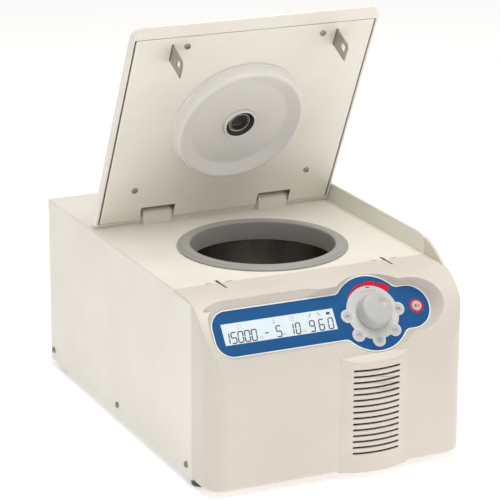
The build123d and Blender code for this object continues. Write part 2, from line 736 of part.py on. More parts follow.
def lid_hooks():
    out = []
    base = PLATE_Z + 1.5
    for side in (-1, 1):
        x = side * HOOK_X
        blade = block(x - 0.8, x + 0.8, PLATE_REAR - 285, PLATE_REAR - 261, PLATE_Z - 34, base)
        window = block(x - 9, x + 9, PLATE_REAR - 279.5, PLATE_REAR - 269.5, PLATE_Z - 29, PLATE_Z - 18.5)
        flange = block(x - 0.8, x + 12, PLATE_REAR - 285, PLATE_REAR - 261, base, base + 1.6)
        nose = Pos(x, PLATE_REAR - 285, PLATE_Z - 34) * Rot(45, 0, 0) * Box(9, 7, 7)
        out.append(opened(((blade - window) - nose) + flange))
    return group(out)


# ---------------------------------------------------------------- lid lock
def lock_bar():
    bar = block(-127, 104, BOLT_Y - 3, BOLT_Y + 3, BOLT_Z - 18, BOLT_Z - 13)
    for post, tip in ((-127, -113.6), (95, 108.4)):
        bar = bar + block(post, post + 6, BOLT_Y - 3, BOLT_Y + 3, BOLT_Z - 18, BOLT_Z + 3)
        bar = bar + block(post, tip, BOLT_Y - 3, BOLT_Y + 3, BOLT_Z - 3, BOLT_Z + 3)
    return bar - block(-9, 9, BOLT_Y - 1.8, BOLT_Y + 1.8, BOLT_Z - 30, BOLT_Z)


def lock_housings():
    # open-topped guides hung under the deck, one round each hook
    out = []
    for x0, x1 in ((-137, -100), (85, 128)):
        low = BOLT_Z - 22
        high = DECK - 4.5
        body = block(x0, x1, BOLT_Y - 16.5, BOLT_Y + 18, low, high)
        body = body - block(x0 + 2, x1 - 2, BOLT_Y - 14.5, BOLT_Y + 16, low + 2, high + 9)
        body = body - block(x0 - 9, x1 + 9, BOLT_Y - 3.6, BOLT_Y + 3.6, BOLT_Z - 18.6, high + 9)
        out.append(body)
    return group(out)


def lock_motor():
    low = BOLT_Z - 52
    body = block(-26, 26, BOLT_Y - 16, BOLT_Y + 3, low, BOLT_Z - 26)
    body = body + rod(9, BOLT_Z - 26.1, BOLT_Z - 22, 0, BOLT_Y - 6)
    return body + block(-34, 34, BOLT_Y - 16, BOLT_Y - 13, low - 4, BOLT_Z - 26)


# ---------------------------------------------------------------- cooling and power
def compressor():
    x, y = COMP
    can = rod(56, 32, 152, x, y)
    can = fillet(can.edges(), 20)
    seam = rod(58.5, 92, 95, x, y)
    cross = block(x - 66, x + 66, y - 14, y + 14, 29.5, 33)
    cross = cross + block(x - 14, x + 14, y - 66, y + 66, 29.5, 33)
    port = block(x + 40, x + 61, y - 22, y - 18, 86, 90) + rod(5, 60, 100, x + 61, y - 20)
    return can + seam + cross + port


def compressor_grommets():
    x, y = COMP
    out = []
    for dx, dy in ((-58, 0), (58, 0), (0, -58), (0, 58)):
        out.append(rod(8, FOOT + 1.5, 29.5, x + dx, y + dy))
    return group(out)


def condenser():
    x, z = FAN
    core = block(x - 58, x + 58, 190, 222, z - 52, z + 52)
    for col in range(22):
        fx = x - 55 + col * 5.0
        core = core - block(fx, fx + 3.4, 180, 230, z - 48, z + 48)
    for row in range(4):
        zz = z - 36 + row * 24
        for y in (198, 214):
            core = core + rod_x(4.0, x - 60, x + 60, y, zz)
    core = core + block(x - 59, x + 59, 190, 222, z - 55, z - 50)
    stand = block(x - 62, x + 62, 186, 234, FOOT + 1.5, FOOT + 3.5)
    for dx in (-62, 58):
        stand = stand + block(x + dx, x + dx + 4, 196, 216, FOOT + 3.5, z - 56)
    return core + stand + block(x - 62, x + 62, 190, 222, z - 58, z - 55)


def filter_drier():
    body = Pos(-14, 122, 0) * rod(11, 40, 110, 0, 0)
    body = fillet(body.edges(), 6)
    return body + rod(3, 28.4, 122, -14, 122)


def pipe(points, radius):
    path = FilletPolyline(*points, radius=12)
    section = Plane(origin=path @ 0, z_dir=path % 0) * Circle(radius)
    return sweep(section, path=path)


def refrigerant_pipes():
    x, y = COMP
    z = FAN[1]
    first = pipe([(x + 61, y - 20, 101), (x + 61, y - 20, 176), (20, y - 20, 176), (20, 176, 176),
                  (20, 176, z + 30)], 3.0)
    second = pipe([(-14, 122, 125), (-14, 122, 190), (-60, 122, 190), (-60, 92, 190)], 2.5)
    third = pipe([(-14, 122, 25.5), (-14, 150, 25.5), (8, 178, 25.5), (8, 178, z - 60)], 2.5)
    return group([first, second, third])


def transformer():
    core = block(84, 140, 96, 152, FOOT + 5, FOOT + 61)
    coil = block(92, 132, 90, 158, FOOT + 14, FOOT + 52)
    foot = block(78, 146, 104, 144, FOOT + 1.5, FOOT + 5)
    return core + coil + foot


def power_board():
    board = block(60, 154, 88, 176, 108, 109.6)
    parts = ((74, 104, 9, 26), (98, 104, 9, 26), (126, 108, 14, 16), (80, 150, 12, 12), (132, 154, 10, 20))
    for x, y, s, h in parts:
        board = board + block(x - s, x + s, y - s, y + s, 109.5, 109.6 + h)
    for x, y in ((64, 92), (150, 92), (64, 172), (150, 172)):
        board = board + rod(3.0, FOOT + 1.5, 108.1, x, y)
    return board


# ---------------------------------------------------------------- output
NODES = {
    "base_tray": base_tray,
    "feet": feet,
    "cabinet_cover": cabinet_cover,
    "case_screws": case_screws,
    "rear_panel": rear_panel,
    "fan_guard": fan_guard,
    "fan_shroud": fan_shroud,
    "fan_impeller": fan_impeller,
    "power_inlet": power_inlet,
    "fuse_drawer": fuse_drawer,
    "switch_frame": switch_frame,
    "power_rocker": power_rocker,
    "ground_stud": ground_stud,
    "front_panel": front_panel,
    "control_overlay": control_overlay,
    "dial_plate": dial_plate,
    "lcd_window": lcd_window,
    "lcd_module": lcd_module,
    "control_knob": control_knob,
    "encoder": encoder,
    "control_board": control_board,
    "bowl_gasket": bowl_gasket,
    "rotor_bowl": rotor_bowl,
    "evaporator_coil": evaporator_coil,
    "bowl_insulation": bowl_insulation,
    "armour_ring": armour_ring,
    "bowl_seal": bowl_seal,
    "mount_posts": mount_posts,
    "motor_dampers": motor_dampers,
    "motor_mount_plate": motor_mount_plate,
    "motor_housing": motor_housing,
    "motor_shaft": motor_shaft,
    "rotor_body": rotor_body,
    "rotor_lid": rotor_lid,
    "rotor_nut": rotor_nut,
    "hinge_brackets": hinge_brackets,
    "hinge_pins": hinge_pins,
    "lid_shell": lid_shell,
    "lid_plate": lid_plate,
    "lid_screws": lid_screws,
    "lid_disc": lid_disc,
    "port_ring": port_ring,
    "port_glass": port_glass,
    "lid_hooks": lid_hooks,
    "lock_bar": lock_bar,
    "lock_housings": lock_housings,
    "lock_motor": lock_motor,
    "compressor": compressor,
    "compressor_grommets": compressor_grommets,
    "condenser": condenser,
    "filter_drier": filter_drier,
    "refrigerant_pipes": refrigerant_pipes,
    "transformer": transformer,
    "power_board": power_board,
}

for name, make in NODES.items():
    export_step(make(), f"parts/{name}.step")

for index, (u, v) in enumerate(KEYS + (START,)):
    export_step(key(u, v), f"parts/key_{index + 1}.step")
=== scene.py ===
import json
import math

import bmesh
import bpy
from mathutils import Matrix, Vector


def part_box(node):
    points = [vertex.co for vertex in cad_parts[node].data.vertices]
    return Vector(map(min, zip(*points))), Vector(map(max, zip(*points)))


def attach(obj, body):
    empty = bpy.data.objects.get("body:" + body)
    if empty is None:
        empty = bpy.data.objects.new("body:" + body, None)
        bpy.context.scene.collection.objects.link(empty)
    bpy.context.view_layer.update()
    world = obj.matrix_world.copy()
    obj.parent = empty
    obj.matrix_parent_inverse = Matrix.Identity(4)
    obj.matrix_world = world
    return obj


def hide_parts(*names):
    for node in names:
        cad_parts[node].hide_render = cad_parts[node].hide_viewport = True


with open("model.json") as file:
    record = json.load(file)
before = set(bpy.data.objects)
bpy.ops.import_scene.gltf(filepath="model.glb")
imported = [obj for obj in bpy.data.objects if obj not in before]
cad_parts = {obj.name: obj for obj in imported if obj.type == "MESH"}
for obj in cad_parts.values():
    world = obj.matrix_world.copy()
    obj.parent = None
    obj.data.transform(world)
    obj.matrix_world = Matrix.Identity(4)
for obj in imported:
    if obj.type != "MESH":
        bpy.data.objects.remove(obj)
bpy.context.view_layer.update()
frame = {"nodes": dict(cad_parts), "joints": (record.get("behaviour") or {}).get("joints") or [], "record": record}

MM = 0.001
NODES = frame["nodes"]
JOINTS = {joint["name"]: joint for joint in frame["joints"]}
X_AXIS = Vector((1, 0, 0))

# ---------------------------------------------------------------- places, worked out from the frame
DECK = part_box("rear_panel")[1].z + 2 * MM                   # top face of the deck
CHAMBER = (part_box("bowl_gasket")[0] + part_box("bowl_gasket")[1]) / 2
LID_HINGE = JOINTS["lid_hinge"]
HINGE_AT = Vector(LID_HINGE["pos_m"])
LID_TURN = math.radians(LID_HINGE["range_deg"][1])
# the lid is drawn closed and turned back to the stored, open place
OPENED = (Matrix.Translation(HINGE_AT) @ Matrix.Rotation(-LID_TURN, 4, "X")
          @ Matrix.Translation(-HINGE_AT))
PLATE_Z = DECK + 5.6 * MM                                   # inner face of the closed lid
LID_CENTRE = OPENED @ Matrix.Translation((CHAMBER.x, CHAMBER.y, PLATE_Z))

# control face: u to the right, v up the slope, height out of it, in millimetres
FACE_OUT = Vector(JOINTS["knob_turn"]["axis"]).normalized()
FACE_UP = FACE_OUT.cross(X_AXIS)
DIAL = (58.7, 50.0)
DIAL_LIFT = 8.0
FACE_ORIGIN = (Vector(JOINTS["knob_turn"]["pos_m"]) - DIAL[0] * MM * X_AXIS
               - DIAL[1] * MM * FACE_UP - DIAL_LIFT * MM * FACE_OUT)
FACE = Matrix.Translation(FACE_ORIGIN) @ Matrix((X_AXIS, FACE_UP, FACE_OUT)).transposed().to_4x4()
KEYS = ((24.7, 49.8), (32.8, 24.8), (57.0, 15.0), (81.0, 24.8), (92.8, 50.0))
START = (118.5, 50.2)
KEY_R = 7.2
LCD_TOP = -0.1                                              # height of the display's glass
SEAM_Y = -154.6                                             # just behind the moulding's joint with the deck


# ---------------------------------------------------------------- materials
def linear(red, green, blue):
    """An sRGB colour, 0 to 255, as linear values."""
    out = []
    for value in (red, green, blue):
        value = value / 255
        out.append(value / 12.92 if value <= 0.04045 else ((value + 0.055) / 1.055) ** 2.4)
    return tuple(out)


def link(tree, source, output, target, socket):
    tree.links.new(source.outputs[output], target.inputs[socket])


def finish(name, colour, rough, metal=0.0, drift=0.04, drift_scale=9.0, rough_drift=0.06,
           grain=0.02, grain_scale=1400.0, stretch=(1, 1, 1), edge=0.0, **settings):
    """A Principled finish with colour drift, uneven gloss, a fine surface grain and softened edges."""
    made = bpy.data.materials.new(name)
    made.use_nodes = True
    tree = made.node_tree
    shader = tree.nodes["Principled BSDF"]
    shader.inputs["Metallic"].default_value = metal
    for socket, value in settings.items():
        shader.inputs[socket.replace("_", " ")].default_value = value
    place = tree.nodes.new("ShaderNodeTexCoord")
    scaled = tree.nodes.new("ShaderNodeMapping")
    scaled.inputs["Scale"].default_value = stretch
    link(tree, place, "Object", scaled, "Vector")
    broad = tree.nodes.new("ShaderNodeTexNoise")
    broad.inputs["Scale"].default_value = drift_scale
    broad.inputs["Detail"].default_value = 3.0
    link(tree, scaled, "Vector", broad, "Vector")
    ramp = tree.nodes.new("ShaderNodeValToRGB")
    ramp.color_ramp.elements[0].position = 0.3
    ramp.color_ramp.elements[1].position = 0.7
    ramp.color_ramp.elements[0].color = (*[c * (1 - drift) for c in colour], 1)
    ramp.color_ramp.elements[1].color = (*[min(1, c * (1 + drift)) for c in colour], 1)
    link(tree, broad, "Fac", ramp, "Fac")
    link(tree, ramp, "Color", shader, "Base Color")
    fine = tree.nodes.new("ShaderNodeTexNoise")
    fine.inputs["Scale"].default_value = grain_scale
    fine.inputs["Detail"].default_value = 2.0
    link(tree, scaled, "Vector", fine, "Vector")
    gloss = tree.nodes.new("ShaderNodeMapRange")
    gloss.inputs["From Min"].default_value = 0.3
    gloss.inputs["From Max"].default_value = 0.7
    gloss.inputs["To Min"].default_value = max(0.02, rough - rough_drift)
    gloss.inputs["To Max"].default_value = min(1.0, rough + rough_drift)
    link(tree, fine, "Fac", gloss, "Value")
    link(tree, gloss, "Result", shader, "Roughness")
    bump = tree.nodes.new("ShaderNodeBump")
    bump.inputs["Strength"].default_value = grain
    bump.inputs["Distance"].default_value = 0.0004
    link(tree, fine, "Fac", bump, "Height")
    if edge:
        soft = tree.nodes.new("ShaderNodeBevel")
        soft.samples = 4
        soft.inputs["Radius"].default_value = edge * MM
        link(tree, soft, "Normal", bump, "Normal")
    link(tree, bump, "Normal", shader, "Normal")
    return made


PAINT = finish("satin_powder_coat", linear(235, 231, 221), 0.42, grain=0.06, grain_scale=700, edge=0.9)
# The front and lid mouldings are one cream plastic at two brightnesses: the front's colour is darkened as painted
# shade, the lid rim's lightened as painted light.
MOULDING_PAINTED_SHADE = finish("satin_moulding_painted_shade", linear(218, 210, 200), 0.40, grain=0.05, grain_scale=1100, edge=1.0)
LID_RIM_PAINTED_LIGHT = finish("lid_moulding", linear(243, 235, 226), 0.40, grain=0.05, grain_scale=1100, edge=0.9)
# The lid plate's paint is a lighter copy of the cream powder coat, lightened as painted light on the plate, which
# faces forward and down.
LID_PAINT_PAINTED_LIGHT = finish("lid_plate_paint_painted_light", linear(240, 237, 226), 0.42, grain=0.06, grain_scale=700, edge=0.4)
WHITE = finish("white_plastic", linear(230, 227, 221), 0.28, drift=0.01, grain=0.02, edge=0.5)
OVERLAY = finish("blue_printed_film", linear(28, 88, 145), 0.45, drift=0.05, drift_scale=40, grain=0.05,
                 grain_scale=2500, Specular_IOR_Level=0.15)
SILVER_FILM = finish("grey_printed_film", linear(208, 208, 206), 0.42, drift=0.03, grain=0.04)
WHITE_INK = finish("white_ink", linear(246, 246, 246), 0.5, drift=0.01)
RED_INK = finish("red_ink", linear(212, 8, 36), 0.5, Specular_IOR_Level=0.2, drift=0.05, drift_scale=60)
BLUE_INK = finish("slate_ink", linear(110, 122, 150), 0.5, drift=0.05, drift_scale=80)
KEYCAP = finish("key_plastic", linear(192, 192, 194), 0.42, drift=0.02, grain=0.08, edge=0.3)
KNOB = finish("knob_plastic", linear(190, 190, 187), 0.34, drift=0.02, grain=0.05, grain_scale=1800)
LCD_GLASS = finish("display_glass", linear(226, 238, 246), 0.18, drift=0.03, drift_scale=20, grain=0.0)
LCD_INK = finish("display_segments", linear(58, 68, 102), 0.5, drift=0.1, drift_scale=120)
LCD_FAINT = finish("display_faint", linear(168, 180, 190), 0.5, drift=0.05, drift_scale=120)
RUBBER = finish("grey_silicone", linear(156, 154, 149), 0.42, drift=0.05, grain=0.15, grain_scale=900,
                Sheen_Weight=0.1)
FOOT_RUBBER = finish("foot_rubber", linear(84, 84, 80), 0.7, grain=0.3, grain_scale=600)
BLACK_RUBBER = finish("black_rubber", linear(34, 34, 34), 0.6, grain=0.25, grain_scale=600)
BLACK = finish("black_plastic", linear(30, 30, 31), 0.45, grain=0.15, grain_scale=900, edge=0.4)
BLACK_PAINT = finish("black_gloss_paint", linear(22, 22, 23), 0.25, grain=0.05, edge=0.5)
DARK_SCREW = finish("blackened_steel", linear(146, 141, 131), 0.35, metal=0.9, grain=0.1, edge=0.2)
BRIGHT = finish("polished_steel", linear(215, 213, 208), 0.2, metal=1.0, grain=0.03, edge=0.2)
ZINC = finish("zinc_plate", linear(190, 190, 182), 0.38, metal=0.9, drift=0.12, drift_scale=30, edge=0.3)
HOOK = finish("hook_steel", linear(168, 160, 148), 0.36, metal=0.9, drift=0.12, drift_scale=60,
              grain=0.2, stretch=(1, 1, 0.05), edge=0.2)
ALLOY = finish("cast_alloy", linear(178, 179, 182), 0.4, metal=0.9, grain=0.2, grain_scale=500, edge=0.4)
ROTOR = finish("anodised_alloy", linear(120, 122, 128), 0.32, metal=0.9, grain=0.05, edge=0.4)
COPPER = finish("drawn_copper", linear(196, 128, 92), 0.3, metal=1.0, drift=0.12, drift_scale=50)
BRASS = finish("brass", linear(205, 172, 98), 0.3, metal=1.0, drift=0.1, drift_scale=80, edge=0.2)
BOARD = finish("lacquered_board", linear(22, 92, 52), 0.3, drift=0.2, drift_scale=220)
FOAM = finish("rigid_foam", linear(226, 214, 168), 0.85, grain=0.5, grain_scale=320)
ARMOUR = finish("armour_paint", linear(72, 72, 75), 0.4, grain=0.1, grain_scale=500, edge=0.4)
# The bowl's colour drift is stretched into vertical streaks: painted reflection streaks standing in for the bright
# highlights on the spun wall.
BOWL_PAINTED_STREAKS = finish("brushed_bowl", linear(160, 151, 138), 0.24, metal=1.0, drift=0.35, drift_scale=12,
              rough_drift=0.03, grain=0.06, grain_scale=420, stretch=(1, 1, 0.02))
SMOKED = finish("smoked_clear_plastic", linear(66, 62, 62), 0.06, drift=0.05, Coat_Weight=1.0)
# Dark colour for the deck's seam, a painted shadow.
SEAM_SHADOW = finish("groove_shadow", linear(96, 84, 66), 0.7, drift=0.1, drift_scale=200)


def brush_round(made, amount, turn):
    """Lines of brushing that run round the vertical axis, as a spun bowl has."""
    tree = made.node_tree
    shader = tree.nodes["Principled BSDF"]
    shader.inputs["Anisotropic"].default_value = amount
    shader.inputs["Anisotropic Rotation"].default_value = turn
    tangent = tree.nodes.new("ShaderNodeTangent")
    tangent.direction_type = "RADIAL"
    tangent.axis = "Z"
    link(tree, tangent, "Tangent", shader, "Tangent")


brush_round(BOWL_PAINTED_STREAKS, 0.8, 0.25)

FINISHES = {
    "zinc_steel": ZINC, "rubber_foot": FOOT_RUBBER, "cream_paint": PAINT, "dark_screw": DARK_SCREW,
    "guard_wire": BRIGHT, "black_plastic": BLACK, "brass_stud": BRASS, "cream_moulding": MOULDING_PAINTED_SHADE,
    "blue_film": OVERLAY, "grey_film": SILVER_FILM, "lcd_glass": LCD_GLASS, "knob_plastic": KNOB,
    "key_plastic": KEYCAP, "board_green": BOARD, "grey_rubber": RUBBER, "brushed_bowl": BOWL_PAINTED_STREAKS,
    "copper": COPPER, "foam": FOAM, "armour_steel": ARMOUR, "black_rubber": BLACK_RUBBER,
    "motor_alloy": ALLOY, "bright_steel": BRIGHT, "rotor_alloy": ROTOR, "lid_moulding": LID_RIM_PAINTED_LIGHT,
    "lid_paint": LID_PAINT_PAINTED_LIGHT, "bright_screw": HOOK, "white_plastic": WHITE, "port_glass": SMOKED,
    "hook_steel": HOOK, "black_paint": BLACK_PAINT, "fin_alloy": ALLOY,
}
SLOT_OF = {part["node"]: part["material_slot"] for part in frame["record"]["subparts"]}


def paint(thing, made):
    thing.data.materials.clear()
    thing.data.materials.append(made)


for node, thing in NODES.items():
    paint(thing, FINISHES[SLOT_OF[node]])
paint(NODES["hinge_brackets"], PAINT)
# The lock housings are painted white in place of their black plastic, as painted light, so the slots read pale.
paint(NODES["lock_housings"], WHITE)


# ---------------------------------------------------------------- mesh helpers
def new_piece(name, mesh, made, body, node=None, smooth_angle=35):
    piece = bpy.data.objects.new(name, mesh)
    bpy.context.scene.collection.objects.link(piece)
    for one in made if isinstance(made, (list, tuple)) else [made]:
        mesh.materials.append(one)
    for polygon in mesh.polygons:
        polygon.use_smooth = True
    mesh.set_sharp_from_angle(angle=math.radians(smooth_angle))
    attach(piece, body)
    if node:
        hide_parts(node)
    return piece


def rounded(points, radius, steps=5):
    """A closed outline with each corner cut back to a small arc of at most that radius."""
    out = []
    count = len(points)
    for index, corner in enumerate(points):
        here = Vector(corner)
        before = Vector(points[index - 1]) - here
        after = Vector(points[(index + 1) % count]) - here
        reach = min(radius, before.length * 0.45, after.length * 0.45)
        start = here + before.normalized() * reach
        end = here + after.normalized() * reach
        for step in range(steps + 1):
            t = step / steps
            out.append(((1 - t) ** 2 * start + 2 * t * (1 - t) * here + t * t * end)[:])
    return out


def spun(profile, place, segments=96, closed=True):
    """A mesh turned about the local Z axis from a (radius, height) outline in millimetres."""
    build = bmesh.new()
    rings = []
    for radius, height in profile:
        if radius < 1e-6:
            rings.append([build.verts.new((0, 0, height * MM))] * segments)
            continue
        ring = []
        for step in range(segments):
            turn = 2 * math.pi * step / segments
            ring.append(build.verts.new((radius * math.cos(turn) * MM, radius * math.sin(turn) * MM,
                                         height * MM)))
        rings.append(ring)
    pairs = list(zip(rings, rings[1:]))
    if closed:
        pairs.append((rings[-1], rings[0]))
    for low, high in pairs:
        for step in range(segments):
            after = (step + 1) % segments
            corners = []
            for vert in (low[step], low[after], high[after], high[step]):
                if vert not in corners:
                    corners.append(vert)
            if len(corners) > 2:
                build.faces.new(corners)
    bmesh.ops.recalc_face_normals(build, faces=build.faces)
    build.transform(place)
    mesh = bpy.data.meshes.new("spun")
    build.to_mesh(mesh)
    build.free()
    return mesh


def prisms(outlines, low, high, place):
    """Thin raised shapes: each outline of (x, y) points in millimetres, between two heights."""
    build = bmesh.new()
    for outline in outlines:
        bottom = [build.verts.new((x * MM, y * MM, low * MM)) for x, y in outline]
        top = [build.verts.new((x * MM, y * MM, high * MM)) for x, y in outline]
        build.faces.new(top)
        build.faces.new(list(reversed(bottom)))
        count = len(outline)
        for index in range(count):
            after = (index + 1) % count
            build.faces.new((bottom[index], bottom[after], top[after], top[index]))
    bmesh.ops.recalc_face_normals(build, faces=build.faces)
    build.transform(place)
    mesh = bpy.data.meshes.new("prisms")
    build.to_mesh(mesh)
    build.free()
    return mesh


def arc_band(centre, inner, outer, start, end, steps=16):
    """Outline of a ring segment; outer may be (radius at start, radius at end)."""
    if not isinstance(outer, tuple):
        outer = (outer, outer)
    points = []
    for step in range(steps + 1):
        t = step / steps
        turn = math.radians(start + (end - start) * t)
        radius = outer[0] + (outer[1] - outer[0]) * t
        points.append((centre[0] + radius * math.cos(turn), centre[1] + radius * math.sin(turn)))
    for step in range(steps, -1, -1):
        turn = math.radians(start + (end - start) * step / steps)
        points.append((centre[0] + inner * math.cos(turn), centre[1] + inner * math.sin(turn)))
    return points


def ring(centre, inner, outer, parts=4):
    """A whole ring as quarter bands."""
    span = 360 / parts
    return [arc_band(centre, inner, outer, span * part, span * (part + 1), 10) for part in range(parts)]


def disc(centre, radius, steps=20):
    return [(centre[0] + radius * math.cos(2 * math.pi * k / steps),
             centre[1] + radius * math.sin(2 * math.pi * k / steps)) for k in range(steps)]


def bar(x0, y0, x1, y1, width):
    """A straight stroke between two points."""
    along = Vector((x1 - x0, y1 - y0)).normalized() * width / 2
    side = Vector((-along.y, along.x))
    return [(x0 + side.x, y0 + side.y), (x0 - side.x, y0 - side.y),
            (x1 - side.x, y1 - side.y), (x1 + side.x, y1 + side.y)]


# ---------------------------------------------------------------- display
SEGMENTS = {
    "0": "abcdef", "1": "bc", "5": "acdfg", "6": "acdefg", "9": "abcdfg",
}
DIGIT_LOW = 38.0
DIGIT_TALL = 13.2
DIGIT_LEAN = 0.09
STROKE = 1.5
ICON_V = 57.6                                               # row of small icons above the digits
CLOCK_U = -46.5


def digit(mark, left, wide):
    """Slanted seven-segment digit as one outline per lit segment."""
    low, mid, high = DIGIT_LOW, DIGIT_LOW + DIGIT_TALL / 2, DIGIT_LOW + DIGIT_TALL
    right = left + wide
    gap = 0.35
    strokes = {
        "a": (left + gap, high, right - gap, high), "g": (left + gap, mid, right - gap, mid),
        "d": (left + gap, low, right - gap, low),
        "b": (right, mid + gap, right, high - gap), "c": (right, low + gap, right, mid - gap),
        "e": (left, low + gap, left, mid - gap), "f": (left, mid + gap, left, high - gap),
    }
    out = []
    for segment in SEGMENTS[mark]:
        shape = bar(*strokes[segment], STROKE)
        out.append([(x + (y - low) * DIGIT_LEAN, y) for x, y in shape])
    return out


def build_display():
    lit = []
    for mark, left, wide in (("5", -128.7, 6.2), ("0", -120.0, 6.2), ("0", -111.3, 6.2),
                             ("0", -102.6, 6.2), ("5", -70.6, 6.2), ("0", -45.2, 5.6),
                             ("9", -26.6, 6.0), ("6", -14.4, 6.0), ("0", -2.2, 6.0)):
        lit += digit(mark, left, wide)
    lit += digit("1", -136.9, 5.4)
    lit += digit("1", -54.1, 5.6)
    lit.append(bar(-84.6, 44.8, -80.4, 44.8, 1.5))
    new_piece("display_digits", prisms(lit, LCD_TOP + 0.01, LCD_TOP + 0.05, FACE), LCD_INK,
              "cabinet")
    faint = []
    for x in (-90.2, -60.4, -34.4):
        faint.append(bar(x - 2.4, 39.4, x + 2.4, 39.4, 0.7))
        faint.append(bar(x - 2.4, 41.2, x + 1.2, 41.2, 0.7))
    for turn in range(6):
        angle = math.radians(60 * turn + 15)
        faint.append(disc((-115.7 + 2.3 * math.cos(angle), ICON_V + 2.3 * math.sin(angle)), 0.62, 10))
    faint += [bar(-70.5, 56.4, -70.5, 60.2, 0.9), disc((-70.5, 55.8), 1.2, 12)]
    faint += ring((CLOCK_U, ICON_V), 2.6, 3.1)
    faint += [bar(CLOCK_U, ICON_V, CLOCK_U, ICON_V + 2, 0.5),
              bar(CLOCK_U, ICON_V, CLOCK_U + 1.5, ICON_V, 0.5)]
    new_piece("display_icons", prisms(faint, LCD_TOP + 0.01, LCD_TOP + 0.04, FACE), LCD_FAINT,
              "cabinet")
    marks = [bar(-24.4, 56.0, -21.0, 60.2, 0.8), bar(-12.8, 60.2, -9.6, 56.0, 0.8)]
    marks += [bar(-1.4, 57.4, 3.4, 57.4, 3.2)]
    new_piece("display_symbols", prisms(marks, LCD_TOP + 0.01, LCD_TOP + 0.05, FACE), LCD_INK,
              "cabinet")


# ---------------------------------------------------------------- dial, keys and printing
def build_knob():
    profile = [(0, 1.7), (21.4, 1.7)]
    profile += [(21.6, 2.3), (21.5, 3.6), (20.9, 7.5), (20.2, 12.0), (19.8, 14.6), (19.5, 15.9),
                (18.9, 17.0), (17.9, 17.8), (16.6, 18.25)]
    steps = 26
    for step in range(1, steps + 1):
        radius = 16.6 * (1 - step / steps)
        profile.append((radius, 18.8 - 0.55 * (radius / 16.6) ** 2))
    mesh = spun(profile, Matrix.Identity(4), 128, closed=False)
    bowl_at = Vector((7.2 * MM, 6.4 * MM))
    bowl_r = 6.4 * MM
    for vert in mesh.vertices:
        if vert.co.z > 17.9 * MM:
            away = (Vector(vert.co[:2]) - bowl_at).length / bowl_r
            if away < 1:
                vert.co.z -= 2.6 * MM * (1 - away * away) ** 1.5
    mesh.transform(FACE @ Matrix.Translation((DIAL[0] * MM, DIAL[1] * MM, 0)))
    new_piece("dial_knob", mesh, KNOB, "knob", "control_knob", 50)


def build_keys():
    for index, (u, v) in enumerate(KEYS + (START,)):
        body = f"button_{index + 1}"
        place = FACE @ Matrix.Translation((u * MM, v * MM, 0))
        profile = [(0, -3.0), (KEY_R, -3.0), (KEY_R, 0.7), (7.05, 1.15), (6.7, 1.35), (6.3, 1.4), (0, 1.25)]
        mesh = spun(profile, place, 64, closed=False)
        new_piece(f"key_cap_{index + 1}", mesh, KEYCAP, body, f"key_{index + 1}", 50)
        if index == 5:
            rim = ring((0, 0), 6.2, 7.0)
            new_piece("start_key_rim", prisms(rim, 1.3, 1.44, place), RED_INK, body)
            icon = [[(-2.6, -2.4), (-2.6, 2.4), (1.2, 0)], bar(2.4, -2.2, 2.4, 2.2, 1.0)]
            new_piece("start_key_icon", prisms(icon, 1.2, 1.42, place), RED_INK, body)
            continue
        rim = ring((0, 0), 6.35, 7.0)
        new_piece(f"key_rim_{index + 1}", prisms(rim, 1.3, 1.43, place), WHITE_INK, body)
        ink = RED_INK if index == 4 else BLUE_INK
        icons = (
            [bar(-3, 0, 3, 0, 0.9), bar(0, -2, 0, 2, 0.9)],
            [bar(-3, -1, 0, 1.6, 0.8), bar(0, 1.6, 3, -1, 0.8)],
            ring((0, 0), 1.6, 2.5),
            [bar(-3, 1, 0, -1.6, 0.8), bar(0, -1.6, 3, 1, 0.8)],
            [bar(-3, 0.9, 3, 0.9, 0.8), bar(-3, -0.9, 3, -0.9, 0.8)],
        )
        new_piece(f"key_icon_{index + 1}", prisms(icons[index], 1.2, 1.42, place), ink, body)


def build_printing():
    white = []
    for spot in KEYS:
        white += ring(spot, 7.65, 8.35)
    new_piece("key_outlines", prisms(white, 0.3, 1.06, FACE), WHITE_INK, "cabinet")
    new_piece("start_outline", prisms(ring(START, 7.65, 9.2), 0.0, 0.08, FACE), RED_INK,
              "cabinet")
    red = []
    arcs = ((140, 123, 35.4, 36.6), (119, 98, 36.9, 38.6), (93, 69, 38.9, 40.9), (64, 41, 41.0, 42.6))
    for start, end, first, last in arcs:
        red.append(arc_band(DIAL, 34.2, (first, last), start, end))
    new_piece("speed_arcs", prisms(red, 0.0, 0.08, FACE), RED_INK, "cabinet")
    mark = [bar(58.2, 82.2, 63.6, 81.8, 1.7)]
    for step in range(7):
        mark.append(bar(50.6 + step * 3.0, 77.0, 52.2 + step * 3.0, 77.0, 0.7))
    new_piece("dial_mark", prisms(mark, 1.0, 1.06, FACE), RED_INK, "cabinet")


def outline_of(node, height, tolerance=0.05):
    """The longest closed edge loop of a CAD node's flat face at that height above the control face."""
    mesh = NODES[node].data
    inverse = FACE.inverted()
    spots = {}
    edges = {}
    for polygon in mesh.polygons:
        corners = [inverse @ mesh.vertices[i].co / MM for i in polygon.vertices]
        if any(abs(corner.z - height) > tolerance for corner in corners):
            continue
        keys = [(round(corner.x, 2), round(corner.y, 2)) for corner in corners]
        for index, key in enumerate(keys):
            spots[key] = corners[index]
            pair = (key, keys[(index + 1) % len(keys)])
            if pair[::-1] in edges:
                del edges[pair[::-1]]
            elif pair[0] != pair[1]:
                edges[pair] = True
    after = {first: second for first, second in edges}
    best = []
    while after:
        start, here = after.popitem()
        loop = [start]
        while here in after:
            loop.append(here)
            here = after.pop(here)
        if len(loop) > 1 and measure(loop) > measure(best):
            best = loop
    return best


def measure(loop):
    return sum(math.dist(a, b) for a, b in zip(loop, loop[1:] + loop[:1]))


# the lip's section: distance outwards from the film's edge, and height
LIP = ((-1.3, 0.02), (-1.3, 0.25), (-0.8, 0.5), (0.1, 0.55), (0.35, 0.35), (0.35, -0.3))


